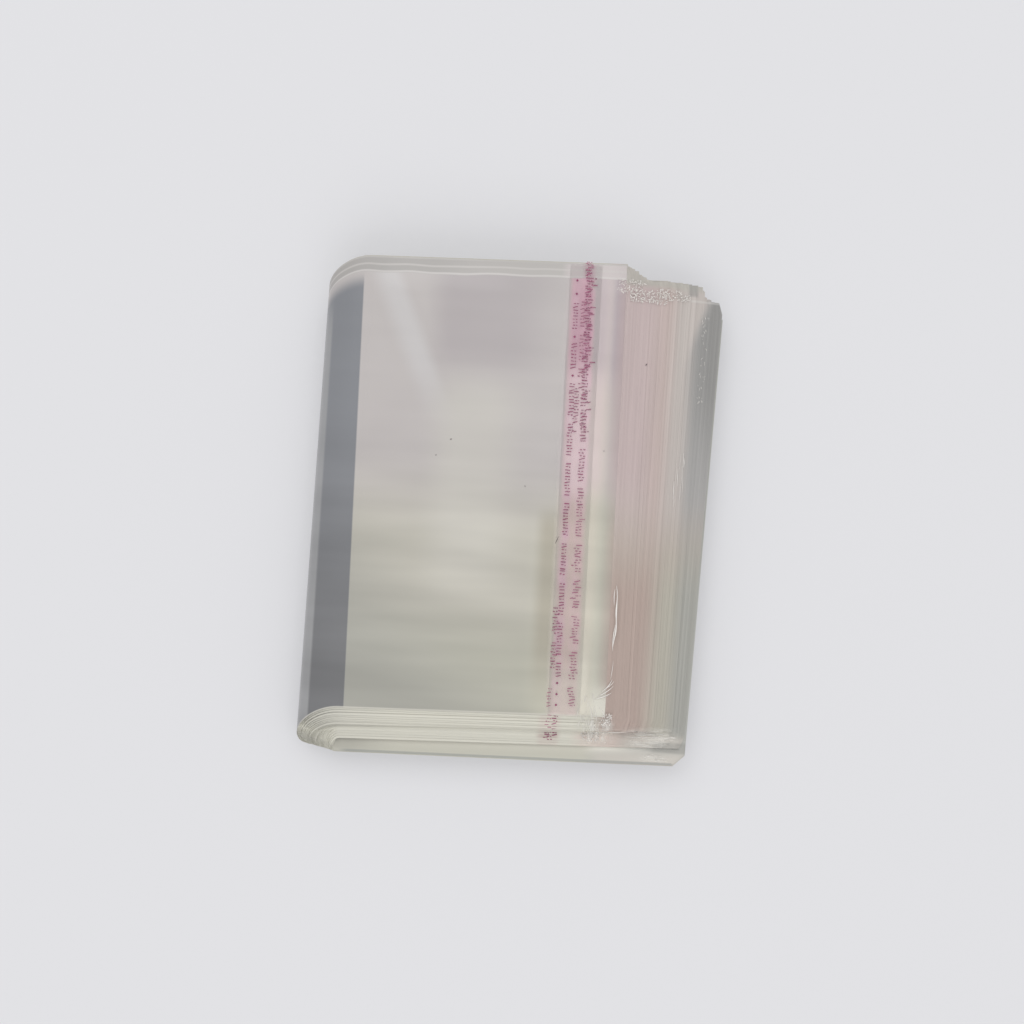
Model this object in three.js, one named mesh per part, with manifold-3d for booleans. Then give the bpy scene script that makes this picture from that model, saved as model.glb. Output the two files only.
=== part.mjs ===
// A bundle of clear self-seal packaging bags, folded over once into a flat pack.
// Millimetres, +Z up. The fold runs along Y on the -X side, and the open ends lie on the +X side.
// The bags are one solid, as a book's pages are: packets of bags that slid along the fold show as ledges.
// Every bag is as long as the next, so the free ends step out where a tighter bend takes up less film.

import * as THREE from "three";
import { mergeVertices } from "three/addons/utils/BufferGeometryUtils.js";
import Module from "manifold-3d";

// The bags
const BAG_WIDTH = 118; // side seal to side seal, along the fold
const BAG_LENGTH = 186.5; // closed bottom to flap edge, laid flat
const PACKETS = 12; // groups of bags that slid together
const LEAF_THICKNESS = 8; // the whole stack, laid flat and pressed

// The fold
const FOLD_REACH = 11.5; // how far the outermost bag bulges past the fold line
const EYE_REACH = 1.6; // the same for the open eye inside the innermost bag
const EYE_HEIGHT = 1; // the eye, between the two leaves at the fold line
const END_GAP = 0.3; // between the two leaves at the open end
const FOLD_SEGMENTS = 16; // facets round the bend

// The free ends
const UPPER_REACH = 68.5; // top bag, from the fold line to its flap edge
const LOWER_CREEP_SHARE = 0.15; // share of the film freed by a tighter bend that the lower leaf takes
const TOP_END_TILT = -0.022; // slope of the top bag's end, in x for each y
const LOWER_END_TILT = 0.014; // the same for the innermost bag, and for all bags on the lower leaf
const CORNER_CUT = 3; // leg of the bent-under corner at the front of the lower leaf

// How the bags slid along the fold
const LEAD = 12.7; // top bag on the upper leaf, against the innermost bag on the lower leaf
const UPPER_SKEW = 0.037; // rise of the upper leaf's long edges, in y for each x
const LOWER_SKEW = 0.0275; // the same for the lower leaf
const SLIDE_START = -0.5; // where a bag starts to slide over: quarter turns from the middle of its bend
const FIRST_SLIP = 4.7; // how far the middle packets slid back, against the top one
const FIRST_SLIP_PACKETS = 4; // packets over which that happened, from the top
const LAST_SLIP = 3.7; // how far the innermost packet slid back, against the middle ones
const LAST_SLIP_PACKETS = 3; // packets over which that happened, down to the innermost
const LOWER_FAN = 1; // outermost bag on the lower leaf, against the innermost

// The peel-off strip that covers the top bag's glue line
const STRIP_WIDTH = 8.5;
const STRIP_THICKNESS = 0.15;
const STRIP_INSET = 7.4; // from the flap edge to the strip
const STRIP_SEAT = 0.3; // clearance between the strip and the film under it

const BITE = 0.05; // overlap of one packet on the next, so that they join as one solid

const packetThickness = LEAF_THICKNESS / PACKETS;
const foldHeight = 2 * LEAF_THICKNESS + EYE_HEIGHT;
const midHeight = foldHeight / 2;

// Half height and half depth of the bend at the outer face of packet k, counted from the outside.
const bendRise = (k) => EYE_HEIGHT / 2 + (PACKETS - k) * packetThickness;
const bendReach = (k) => THREE.MathUtils.lerp(FOLD_REACH, EYE_REACH, k / PACKETS);

// Film taken up by packet k's bend: half an ellipse through the packet's middle, by Ramanujan's formula.
function bendLength(k) {
  const a = bendReach(k + 0.5);
  const b = bendRise(k + 0.5);
  return (Math.PI / 2) * (3 * (a + b) - Math.sqrt((3 * a + b) * (a + 3 * b)));
}

// Film that packet k has left over for its two leaves, beyond the outermost packet.
const freedFilm = (k) => bendLength(0) - bendLength(k);
const upperReach = (k) => UPPER_REACH + (1 - LOWER_CREEP_SHARE) * freedFilm(k);
const lowerReach = (k) => BAG_LENGTH - bendLength(k) - upperReach(k);

// The upper leaf sinks from the eye's height at the fold line to the end gap at its longest end.
const leafSlope = (EYE_HEIGHT - END_GAP) / upperReach(PACKETS - 1);

// Where packet k lies along the fold, on each leaf, at a distance past the fold line.
function upperCentre(k, run) {
  const first = THREE.MathUtils.smoothstep(k, 0, FIRST_SLIP_PACKETS);
  const last = THREE.MathUtils.smoothstep(k, PACKETS - 1 - LAST_SLIP_PACKETS, PACKETS - 1);
  return LEAD - FIRST_SLIP * first - LAST_SLIP * last + UPPER_SKEW * run;
}
function lowerCentre(k, run) {
  return LOWER_FAN * (1 - k / (PACKETS - 1)) + LOWER_SKEW * run;
}

// Slope of packet k's free end on a leaf.
function endTilt(k, isUpper) {
  if (!isUpper) return LOWER_END_TILT;
  return THREE.MathUtils.lerp(TOP_END_TILT, LOWER_END_TILT, k / (PACKETS - 1));
}

// Section of packet k across the fold: lower leaf, bend and upper leaf in one band, fold line at x = 0.
function packetSection(k) {
  const isInnermost = k === PACKETS - 1;
  const overlap = isInnermost ? 0 : BITE;
  const [reach, rise] = [bendReach(k), bendRise(k)];
  const [innerReach, innerRise] = [bendReach(k + 1) - overlap, bendRise(k + 1) - overlap];
  const [upper, lower] = [upperReach(k), lowerReach(k)];
  const sink = leafSlope * upper;
  const section = new THREE.Shape();
  section.moveTo(lower, midHeight - rise);
  section.lineTo(0, midHeight - rise);
  section.absellipse(0, midHeight, reach, rise, 1.5 * Math.PI, 0.5 * Math.PI, true);
  section.lineTo(upper, midHeight + rise - sink);
  section.lineTo(upper, midHeight + innerRise - sink);
  section.lineTo(0, midHeight + innerRise);
  section.absellipse(0, midHeight, innerReach, innerRise, 0.5 * Math.PI, 1.5 * Math.PI, false);
  section.lineTo(lower, midHeight - innerRise);
  section.closePath();
  return section;
}

// Slides each point of packet k along the fold, from one leaf's place to the other's round the bend.
function slidePacket(geometry, k) {
  const position = geometry.getAttribute("position");
  const point = new THREE.Vector3();
  for (let i = 0; i < position.count; i++) {
    point.fromBufferAttribute(position, i);
    const run = Math.max(0, point.x);
    const isUpper = point.z > midHeight;
    const [upper, lower] = [upperCentre(k, run), lowerCentre(k, run)];
    const turned = Math.atan2((point.z - midHeight) / bendRise(k), -point.x / bendReach(k)) / (Math.PI / 2);
    const share = run > 0 ? Number(isUpper) : THREE.MathUtils.smoothstep(turned, SLIDE_START, 1);
    const tilt = run > 0 ? endTilt(k, isUpper) : 0;
    position.setXYZ(
      i,
      point.x + tilt * point.y,
      point.y + THREE.MathUtils.lerp(lower, upper, share),
      point.z,
    );
  }
  return geometry;
}

// A section drawn in x and z, made solid along y and centred on the section's plane.
function alongFold(section, length) {
  const geometry = new THREE.ExtrudeGeometry(section, {
    depth: length,
    bevelEnabled: false,
    curveSegments: FOLD_SEGMENTS,
  });
  return geometry.rotateX(Math.PI / 2).translate(0, length / 2, 0);
}

const wasm = await Module();
wasm.setup();

function toSolid(geometry) {
  const bare = new THREE.BufferGeometry();
  bare.setAttribute("position", geometry.getAttribute("position"));
  if (geometry.index) bare.setIndex(geometry.index);
  const merged = mergeVertices(bare, 1e-4);
  return new wasm.Manifold(
    new wasm.Mesh({
      numProp: 3,
      vertProperties: new Float32Array(merged.getAttribute("position").array),
      triVerts: new Uint32Array(merged.index.array),
    }),
  );
}

function toGeometry(solid) {
  const { vertProperties, triVerts } = solid.getMesh();
  const geometry = new THREE.BufferGeometry();
  geometry.setAttribute("position", new THREE.BufferAttribute(vertProperties, 3));
  geometry.setIndex(new THREE.BufferAttribute(triVerts, 1));
  geometry.computeVertexNormals();
  return geometry;
}

// The corner at the front of the lower leaf that bent under: a prism over the innermost bag's corner.
function bentCorner() {
  const inner = PACKETS - 1;
  const cornerX = lowerReach(inner) - (LOWER_END_TILT * BAG_WIDTH) / 2;
  const cornerY = lowerCentre(inner, lowerReach(inner)) - BAG_WIDTH / 2;
  const spare = CORNER_CUT; // how far the prism runs past the corner on each side
  const corner = new THREE.Shape();
  corner.moveTo(cornerX + spare, cornerY - spare);
  corner.lineTo(cornerX + spare, cornerY + CORNER_CUT + spare);
  corner.lineTo(cornerX - CORNER_CUT - spare, cornerY - spare);
  corner.closePath();
  const depth = foldHeight + 2 * spare;
  return new THREE.ExtrudeGeometry(corner, { depth, bevelEnabled: false }).translate(0, 0, -spare);
}

function makeBagStack() {
  let stack = null;
  for (let k = 0; k < PACKETS; k++) {
    const packet = toSolid(slidePacket(alongFold(packetSection(k), BAG_WIDTH), k));
    stack = stack ? stack.add(packet) : packet;
  }
  const film = new THREE.MeshStandardMaterial({ color: 0xbfbcb8, roughness: 0.25, metalness: 0 });
  const mesh = new THREE.Mesh(toGeometry(stack.subtract(toSolid(bentCorner()))), film);
  mesh.name = "bag_stack";
  return mesh;
}

// A flat strip across the whole bag, parallel to its flap edge and to the leaf it lies on.
function makeReleaseStrip() {
  const run = UPPER_REACH - STRIP_INSET - STRIP_WIDTH / 2;
  const liner = new THREE.MeshStandardMaterial({ color: 0xcf8fa9, roughness: 0.35, metalness: 0 });
  const mesh = new THREE.Mesh(new THREE.BoxGeometry(STRIP_WIDTH, BAG_WIDTH, STRIP_THICKNESS), liner);
  mesh.name = "release_strip";
  mesh.rotation.z = -Math.atan(TOP_END_TILT);
  const seat = new THREE.Group();
  seat.add(mesh);
  seat.rotation.y = Math.atan(leafSlope);
  const filmHeight = foldHeight - leafSlope * run;
  seat.position.set(run, upperCentre(0, run), filmHeight + STRIP_SEAT + STRIP_THICKNESS / 2);
  return seat;
}

const bundle = new THREE.Group();
bundle.add(makeBagStack(), makeReleaseStrip());

// The origin is at the middle of the footprint, on the surface that the bundle lies on.
const footprint = new THREE.Box3().setFromObject(bundle, true).getCenter(new THREE.Vector3());
bundle.position.set(-footprint.x, -footprint.y, 0);

export default bundle;
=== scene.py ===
"""Looks of a flat bundle of clear self-seal plastic bags, folded over once.

Sizes are in millimetres until a mesh is made. The fold runs along Y on the -X side.
"""

import math

import bpy
import numpy as np
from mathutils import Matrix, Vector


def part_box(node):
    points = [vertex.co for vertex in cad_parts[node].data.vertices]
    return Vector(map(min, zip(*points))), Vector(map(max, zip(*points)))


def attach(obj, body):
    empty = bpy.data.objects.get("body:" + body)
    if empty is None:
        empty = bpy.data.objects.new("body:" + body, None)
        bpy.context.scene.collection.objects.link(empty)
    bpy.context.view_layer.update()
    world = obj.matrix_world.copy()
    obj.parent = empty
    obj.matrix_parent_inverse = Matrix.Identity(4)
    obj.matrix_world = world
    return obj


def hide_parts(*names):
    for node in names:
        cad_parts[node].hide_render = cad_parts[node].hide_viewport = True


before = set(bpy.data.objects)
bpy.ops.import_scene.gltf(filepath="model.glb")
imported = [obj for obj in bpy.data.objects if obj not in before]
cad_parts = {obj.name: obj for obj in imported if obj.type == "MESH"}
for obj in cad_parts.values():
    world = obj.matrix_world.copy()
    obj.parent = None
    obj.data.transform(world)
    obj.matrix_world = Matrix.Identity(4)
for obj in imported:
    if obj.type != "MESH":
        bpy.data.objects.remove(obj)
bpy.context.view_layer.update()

MM = 0.001
RNG = np.random.default_rng(12)

# The bags, as in the part's source
BAG_WIDTH = 118.0  # side weld to side weld
BAG_LENGTH = 186.5  # closed bottom to flap edge
PACKETS = 12  # groups of bags that slid together
LEAF_THICKNESS = 8.0
FOLD_REACH = 11.5  # how far the outermost bag bulges past the fold line
EYE_REACH = 1.6  # the same for the open eye inside the innermost bag
EYE_HEIGHT = 1.0  # the eye, between the two leaves at the fold line
END_GAP = 0.3  # between the two leaves at the open end
UPPER_REACH = 68.5  # top bag, from the fold line to its flap edge
LOWER_CREEP_SHARE = 0.15  # share of the film freed by a tighter bend that the lower leaf takes
TOP_END_TILT = -0.022  # slope of the top bag's end, in x for each y
LOWER_END_TILT = 0.014  # the same for the innermost bag, and for all bags on the lower leaf
CORNER_CUT = 3.0  # leg of the bent-under corner at the front of the lower leaf
LEAD = 12.7  # top bag on the upper leaf, against the innermost bag on the lower leaf
UPPER_SKEW = 0.037  # rise of the upper leaf's long edges, in y for each x
LOWER_SKEW = 0.0275  # the same for the lower leaf
SLIDE_START = -0.5  # where a bag starts to slide over: quarter turns from the middle of its bend
LOWER_FAN = 1.0  # outermost bag on the lower leaf, against the innermost
STRIP_WIDTH = 8.5
STRIP_THICKNESS = 0.15
STRIP_INSET = 7.4  # from the flap edge to the strip
STRIP_SEAT = 0.3  # clearance between the strip and the film under it

# What was read from the photograph beyond the solids
SLIP_PACKETS = (0.0, 1.0, 2.0, 3.0, 4.0, 9.0, 9.6, 10.2, 11.0)  # packets with a ledge that shows
SLIPS = (0.0, 1.1, 2.4, 3.5, 4.4, 5.7, 6.6, 7.4, 8.4)  # how far they slid back, against the top one
MIDDLE_SKEW = 0.015  # what the middle packets' long edges rise beyond the others'
SQUARE_PACKETS = (8.0, 9.3)  # between these, the corners at the free ends stayed nearly square
LOWER_SHIFT = 0.7  # how far the drawn lower leaf lies behind the solid one
FLAP_FILM = 16.8  # length of the flap's upper film, from the flap edge to just past the strip
NEAR_LEAN = 0.0226  # lean of the strip's inner column of print, in x for each y
FAR_LEAN = 0.0304  # the same for its outer column

# The shapes of the films on top
CROWN = 0.3  # height of the top bag's low arch
CREASE = 0.75  # height of the crease that runs from the fold's far corner
WAVE = 0.2  # half height of the slanting waves on its front half
WAVE_PITCH = 17.0
SWELL = 0.2  # half height of the broad swells on its far half
SWELL_PITCH = 37.0
STRIP_WAVE = 0.06  # half height of the strip's own wave along its length
STRIP_WAVE_RUN = 7.5  # length of strip for each radian of that wave
STRIP_END = 0.2  # from the strip's ends to the side welds
FLAP_END = 0.3  # from the flap film's edges to the top bag's
FILM_GAP = 0.12  # between a loose film and what it lies on
FLAP_THICKNESS = 0.05
PATCH_THICKNESS = 0.04  # of a crushed or rubbed patch

HALF_WIDTH = BAG_WIDTH / 2
MID_HEIGHT = LEAF_THICKNESS + EYE_HEIGHT / 2
STACK_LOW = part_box("bag_stack")[0]
FOLD_X = STACK_LOW.x / MM + FOLD_REACH  # the fold line in the frame
BASE_Y = STACK_LOW.y / MM + HALF_WIDTH  # middle of the innermost bag on the lower leaf, at the fold line
STRIP_RUN = UPPER_REACH - STRIP_INSET - STRIP_WIDTH / 2  # from the fold line to the strip's middle

# How finely the stack is drawn
SHEETS_PER_PACKET = 16  # eight bags of two films each
GROUPS_PER_PACKET = 2  # groups of sheets that slid as one, so that their welds show as one line
SHEET_GAP = 0.006  # air between two drawn sheets
EDGE_COLUMN = 3.0  # width of the outermost column of faces, which also makes the cut corners
TINY = 1e-6  # allowance for rounding
SHARP_ANGLE = 40  # an edge that bends more, in degrees, is drawn sharp
INK_THICKNESS = 0.03
# Stations on the lower leaf, round the bend and on the upper leaf, then columns across
COARSE = ((3, 18, 5), 5)
FINE = ((24, 40, 130), 120)


def smooth(value, start, stop):
    """Goes from 0 at start to 1 at stop with level ends: 3t^2 - 2t^3."""
    t = np.clip((value - start) / (stop - start), 0, 1)
    return t * t * (3 - 2 * t)


def bend_rise(k):
    """Half height of the bend at depth k, counted in packets from the outside."""
    return EYE_HEIGHT / 2 + (PACKETS - k) * LEAF_THICKNESS / PACKETS


def bend_reach(k):
    """Depth of the bend past the fold line, from the outermost bag's to the eye's."""
    return FOLD_REACH + (EYE_REACH - FOLD_REACH) * k / PACKETS


def bend_length(k):
    """Half the circumference of the ellipse through the middle of packet k."""
    a, b = bend_reach(k + 0.5), bend_rise(k + 0.5)
    return math.pi / 2 * (3 * (a + b) - math.sqrt((3 * a + b) * (a + 3 * b)))


def upper_reach(k):
    """Length of the upper leaf: a tighter bend leaves it more film."""
    return UPPER_REACH + (1 - LOWER_CREEP_SHARE) * (bend_length(0) - bend_length(k))


def lower_reach(k):
    """Length of the lower leaf: what is left of the bag."""
    return BAG_LENGTH - bend_length(k) - upper_reach(k)


LEAF_SLOPE = (EYE_HEIGHT - END_GAP) / upper_reach(PACKETS - 1)


def upper_slide(packet):
    """Place of a packet along the fold on the upper leaf: the lead, less its slip."""
    return LEAD - np.interp(packet, SLIP_PACKETS, SLIPS)


def upper_skew(packet):
    """Rise of a packet's long edges on the upper leaf: the middle packets lie a little more askew."""
    return UPPER_SKEW + MIDDLE_SKEW * smooth(packet, 3, 5.5) * (1 - smooth(packet, 9, 9.5))


def lower_slide(packet):
    """The same on the lower leaf: an even fan."""
    return LOWER_SHIFT + LOWER_FAN * (1 - packet / (PACKETS - 1))


def end_tilt(packet):
    """Slope of a packet's free end on the upper leaf, from the top bag's to the innermost one's."""
    return TOP_END_TILT + (LOWER_END_TILT - TOP_END_TILT) * packet / (PACKETS - 1)


def top_bag_place(x, y):
    """Distance past the fold line, and distance from the top bag's middle, of a point of the frame."""
    run = x - FOLD_X
    return run, y - BASE_Y - LEAD - UPPER_SKEW * run


def film_lift(x, y):
    """Height of the top film over the flat stack, in the frame's x and y.

    A low arch, a crease that runs from the fold's corner, shallow slanting waves on the front half and broad
    swells on the far half, times a margin that brings the film down on the stack at its four edges.
    """
    run, local = top_bag_place(x, y)
    margin = smooth(HALF_WIDTH - np.abs(local), 0, 9) * smooth(run, -3, 9) * smooth(UPPER_REACH - run, 0, 6)
    crown = CROWN * (1 - (local / HALF_WIDTH) ** 2)
    down = 62 - y  # from the far end of the crease, which curves away to the right
    beside = x + 31 - 0.0055 * down**2 - 0.18 * down
    ridge = np.where(beside < 0, np.exp(-((beside / 8) ** 2)), np.exp(-((beside / 4) ** 2)))
    crease = CREASE * ridge * smooth(y, 18, 50)
    slant = 0.97 * y + 0.24 * x
    on_front = (1 - smooth(y, -8, 22)) * smooth(x, -36, -12)
    waves = WAVE * (1 + np.sin(slant * 2 * math.pi / WAVE_PITCH)) * on_front
    broad = (x + 0.35 * y) * 2 * math.pi / SWELL_PITCH + 0.8
    swell = SWELL * (1 + np.sin(broad)) * smooth(y, -20, 20)
    return margin * (crown + crease + waves + swell)


def top_face(x, y):
    """Height of the top bag's upper side on the upper leaf: the sloping leaf and the film's own lift."""
    return 2 * MID_HEIGHT - LEAF_SLOPE * (x - FOLD_X) + film_lift(x, y)


def stack_face(x, y):
    """Height of what shows from above: the highest sheet of the upper leaf that reaches the point."""
    height = np.full(np.shape(x), MID_HEIGHT - EYE_HEIGHT / 2)
    run = x - FOLD_X
    step = 0.25  # of a packet
    for k in np.arange(PACKETS - step, -TINY, -step):
        local = y - BASE_Y - upper_slide(k) - upper_skew(k) * run
        inside = (np.abs(local) < HALF_WIDTH) & (run < upper_reach(k) + end_tilt(k) * local)
        height = np.where(inside, MID_HEIGHT + bend_rise(k) - LEAF_SLOPE * run, height)
    return height


def bag_stations(lower, bend, upper):
    """Stations along a bag, as leaf share and turn.

    The leaf share is 1 at a free end and 0 at the fold line. The turn goes from -1, lower, to 1, upper.
    """
    lower_share = np.linspace(1, 0, lower, False)
    upper_share = np.linspace(0, 1, upper + 1)[1:]
    share = np.concatenate([lower_share, np.zeros(bend), upper_share])
    turn = np.concatenate([-np.ones(lower), np.linspace(-1, 1, bend), np.ones(upper)])
    return share, turn


def bag_columns(count):
    """Places across a bag from -1 to 1, evenly spaced inside a narrow column along each side weld."""
    inside = 1 - EDGE_COLUMN / HALF_WIDTH
    return np.concatenate([[-1], np.linspace(-inside, inside, count), [1]])


def bag_grid(k, bag, share, turn, across):
    """One face of a folded bag as a grid of points: its path round the fold times its width.

    On the path, x is the leaf's run less the bend's reach times the cosine of the turn, and z is the
    bend's rise times the sine, less the leaf's slope. The bag's middle slides from one leaf's place to
    the other's round the bend.
    """
    on_upper = turn > 0
    run = share * np.where(on_upper, bag["upper"], bag["lower"])
    angle = turn * math.pi / 2
    x = run - bend_reach(k) * np.cos(angle)
    z = MID_HEIGHT + bend_rise(k) * np.sin(angle) - np.where(on_upper, LEAF_SLOPE * run, 0)
    low, high = bag["lower_slide"] + LOWER_SKEW * run, bag["upper_slide"] + bag["skew"] * run
    centre = low + (high - low) * smooth(turn, SLIDE_START, 1)
    centre += bag["wander"] * np.sin(share * 2.6 + bag["phase"]) * on_upper
    local = across * HALF_WIDTH
    tilt = share * np.where(on_upper, bag["tilt"], LOWER_END_TILT)
    grid = np.empty((len(share), len(across), 3))
    grid[..., 0] = x[:, None] + tilt[:, None] * local + FOLD_X
    grid[..., 1] = centre[:, None] + local + BASE_Y
    grid[..., 2] = z[:, None]
    grid[0, 0, 0] -= CORNER_CUT
    grid[-1, [0, -1], 0] -= bag["corner"]
    return grid


def closed_band(outer, inner):
    """Two grids of the same shape as one closed thin body: both faces, and four strips round the border."""
    rows, columns = outer.shape[:2]
    top = np.arange(rows * columns).reshape(rows, columns)
    low = top + rows * columns
    corners = [
        (top[:-1, :-1], top[1:, :-1], top[1:, 1:], top[:-1, 1:]),
        (low[:-1, :-1], low[:-1, 1:], low[1:, 1:], low[1:, :-1]),
        (top[:-1, 0], low[:-1, 0], low[1:, 0], top[1:, 0]),
        (top[1:, -1], low[1:, -1], low[:-1, -1], top[:-1, -1]),
        (top[0, :-1], top[0, 1:], low[0, 1:], low[0, :-1]),
        (top[-1, 1:], top[-1, :-1], low[-1, :-1], low[-1, 1:]),
    ]
    points = np.concatenate([outer.reshape(-1, 3), inner.reshape(-1, 3)])
    faces = np.concatenate([np.stack(side, -1).reshape(-1, 4) for side in corners])
    return points, faces


def bag_band(packet, k_outer, k_inner, stations, columns, jitter, lift=None):
    """A bag, or a few bags as one sheet, as a closed band, with its place on the bag and its own tone.

    The place is the distance along the bag from the middle of the bend, and across it from its middle.
    """
    share, turn = bag_stations(*stations)
    across = bag_columns(columns)
    middle = (k_outer + k_inner) / 2 - 0.5
    group = math.floor(k_outer * GROUPS_PER_PACKET + TINY) / GROUPS_PER_PACKET
    is_first = abs(k_outer - group) < TINY
    is_square = SQUARE_PACKETS[0] < middle < SQUARE_PACKETS[1]
    # How far single bags stray, in millimetres, and their end's tilt as a slope
    bag = {
        "upper": upper_reach(middle) + RNG.normal(0, 0.14) * jitter,
        "lower": lower_reach(middle) + RNG.normal(0, 0.2) * jitter,
        "upper_slide": upper_slide(group) + abs(RNG.normal(0, 0.08)) * jitter * (not is_first),
        "lower_slide": lower_slide(packet) + RNG.normal(0, 0.15) * jitter,
        "skew": upper_skew(middle),
        "tilt": end_tilt(middle) + RNG.normal(0, 0.002) * jitter,
        "wander": (0.15 * math.sin(5 * group) + RNG.uniform(-0.05, 0.05)) * jitter,
        "phase": 3 * group + RNG.uniform(0, 0.3),
        "corner": RNG.uniform(0.6, 1.8) * jitter * (0.3 if is_square else 1.0),
    }
    outer, inner = (bag_grid(k, bag, share, turn, across) for k in (k_outer, k_inner))
    if lift is not None:
        on_leaf = (share * turn > 0)[:, None]
        height = np.where(on_leaf, lift(outer[..., 0], outer[..., 1]), 0)
        outer[..., 2] += height
        inner[..., 2] += height
    points, faces = closed_band(outer, inner)
    along = turn * bend_length(middle) / 2 + share * np.where(turn > 0, bag["upper"], -bag["lower"])
    place = np.stack(np.broadcast_arrays(along[:, None], across * HALF_WIDTH), -1) * MM
    uv = np.tile(place.reshape(-1, 2), (2, 1))
    tone = np.full(len(points), 1.0 if is_first else RNG.uniform(0, 0.8))
    return points, faces, uv, tone


def make_piece(name, bodies, material):
    """One mesh object at the origin from closed bodies of points, four-cornered faces, places and tones."""
    starts = np.cumsum([0] + [len(body[0]) for body in bodies[:-1]])
    points = np.concatenate([body[0] for body in bodies]) * MM
    faces = np.concatenate([body[1] + start for body, start in zip(bodies, starts)])
    mesh = bpy.data.meshes.new(name)
    mesh.from_pydata(points.tolist(), [], faces.tolist())
    place = np.concatenate([body[2] for body in bodies])[faces.ravel()]
    mesh.uv_layers.new(name="place").data.foreach_set("uv", place.ravel())
    tone = np.concatenate([body[3] for body in bodies])
    mesh.attributes.new("tone", "FLOAT", "POINT").data.foreach_set("value", tone)
    mesh.shade_smooth()
    mesh.set_sharp_from_angle(angle=math.radians(SHARP_ANGLE))
    mesh.materials.append(material)
    piece = bpy.data.objects.new(name, mesh)
    bpy.context.collection.objects.link(piece)
    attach(piece, "root")
    return piece


def srgb(code):
    """A hex colour as linear red, green, blue and alpha."""
    channels = [int(code[i : i + 2], 16) / 255 for i in (1, 3, 5)]
    return (*[c / 12.92 if c <= 0.04045 else ((c + 0.055) / 1.055) ** 2.4 for c in channels], 1.0)


def add(tree, kind, inputs=None, **settings):
    """Adds a node with its settings, and sets or links its inputs by name or number."""
    node = tree.nodes.new(kind)
    for key, value in settings.items():
        setattr(node, key, value)
    for key, value in (inputs or {}).items():
        if isinstance(value, bpy.types.NodeSocket):
            tree.links.new(value, node.inputs[key])
        else:
            node.inputs[key].default_value = value
    return node


def new_material(name):
    """An empty node material and its tree."""
    material = bpy.data.materials.new(name)
    material.use_nodes = True
    material.node_tree.nodes.clear()
    return material, material.node_tree


def calc(tree, way, *values):
    """One step of arithmetic on two or three values."""
    return add(tree, "ShaderNodeMath", dict(enumerate(values)), operation=way).outputs[0]


def distance_along(tree, place, direction):
    """How far a place lies along a direction, in metres."""
    inputs = {0: place, 1: direction}
    return add(tree, "ShaderNodeVectorMath", inputs, operation="DOT_PRODUCT").outputs["Value"]


def surface(tree, colour, roughness, ior, coat=(0.0, 0.0)):
    """A finish, with the weight and the roughness of a coat over it."""
    inputs = {"Base Color": colour, "Roughness": roughness, "IOR": ior}
    inputs["Coat Weight"], inputs["Coat Roughness"] = coat
    return add(tree, "ShaderNodeBsdfPrincipled", inputs).outputs[0]


def with_clear(tree, share, shader):
    """A finish mixed into clear by a share."""
    clear = add(tree, "ShaderNodeBsdfTransparent").outputs[0]
    return add(tree, "ShaderNodeMixShader", {0: share, 1: clear, 2: shader}).outputs[0]


def show(tree, shader):
    """Makes a shader the material's surface."""
    add(tree, "ShaderNodeOutputMaterial", {"Surface": shader})


def blend(tree, share, first, second, way="MIX"):
    """Two colours blended by a share."""
    inputs = {0: share, 6: first, 7: second}
    return add(tree, "ShaderNodeMix", inputs, data_type="RGBA", blend_type=way).outputs[2]


def remap(tree, value, start, stop, low, high):
    """A value between start and stop, moved to between low and high."""
    limits = {"From Min": start, "From Max": stop, "To Min": low, "To Max": high}
    return add(tree, "ShaderNodeMapRange", {"Value": value, **limits}).outputs[0]


def noise(tree, place, size, detail=2.0):
    """Soft noise in patches of a size in millimetres."""
    inputs = {"Vector": place, "Scale": 1 / (size * MM), "Detail": detail}
    return add(tree, "ShaderNodeTexNoise", inputs).outputs


def stretched_noise(tree, place, sizes, detail=2.0, turn=0.0):
    """Soft noise in long patches: their sizes along each axis in millimetres, 0 for without end."""
    scale = tuple(1 / (size * MM) if size else 0.0 for size in sizes)
    mapping = {"Vector": place, "Rotation": (0.0, 0.0, turn), "Scale": scale}
    stretched = add(tree, "ShaderNodeMapping", mapping).outputs[0]
    inputs = {"Vector": stretched, "Scale": 1.0, "Detail": detail}
    return add(tree, "ShaderNodeTexNoise", inputs).outputs["Fac"]


def lay_fields(tree, place, base, fields):
    """Lays fields of colour over a base, one after the other.

    A field is a colour, a share, and steps. Each step is a direction and the two distances along it, in
    millimetres, between which the field comes in. They are measured in the place given for all fields, or
    in the one that the step itself starts with.
    """
    for colour, share, *steps in fields:
        mask = share
        for *own_place, direction, start, stop in steps:
            distance = distance_along(tree, own_place[0] if own_place else place, direction)
            inputs = {"Value": distance, "From Min": start * MM, "From Max": stop * MM, "To Max": mask}
            mask = add(tree, "ShaderNodeMapRange", inputs, interpolation_type="SMOOTHSTEP").outputs[0]
        base = blend(tree, mask, base, srgb(colour))
    return base


FILM_IOR = 1.49  # how strongly the film bends light
PLAIN_IOR = 1.5  # the same for the liner, the ink and the dust

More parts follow.
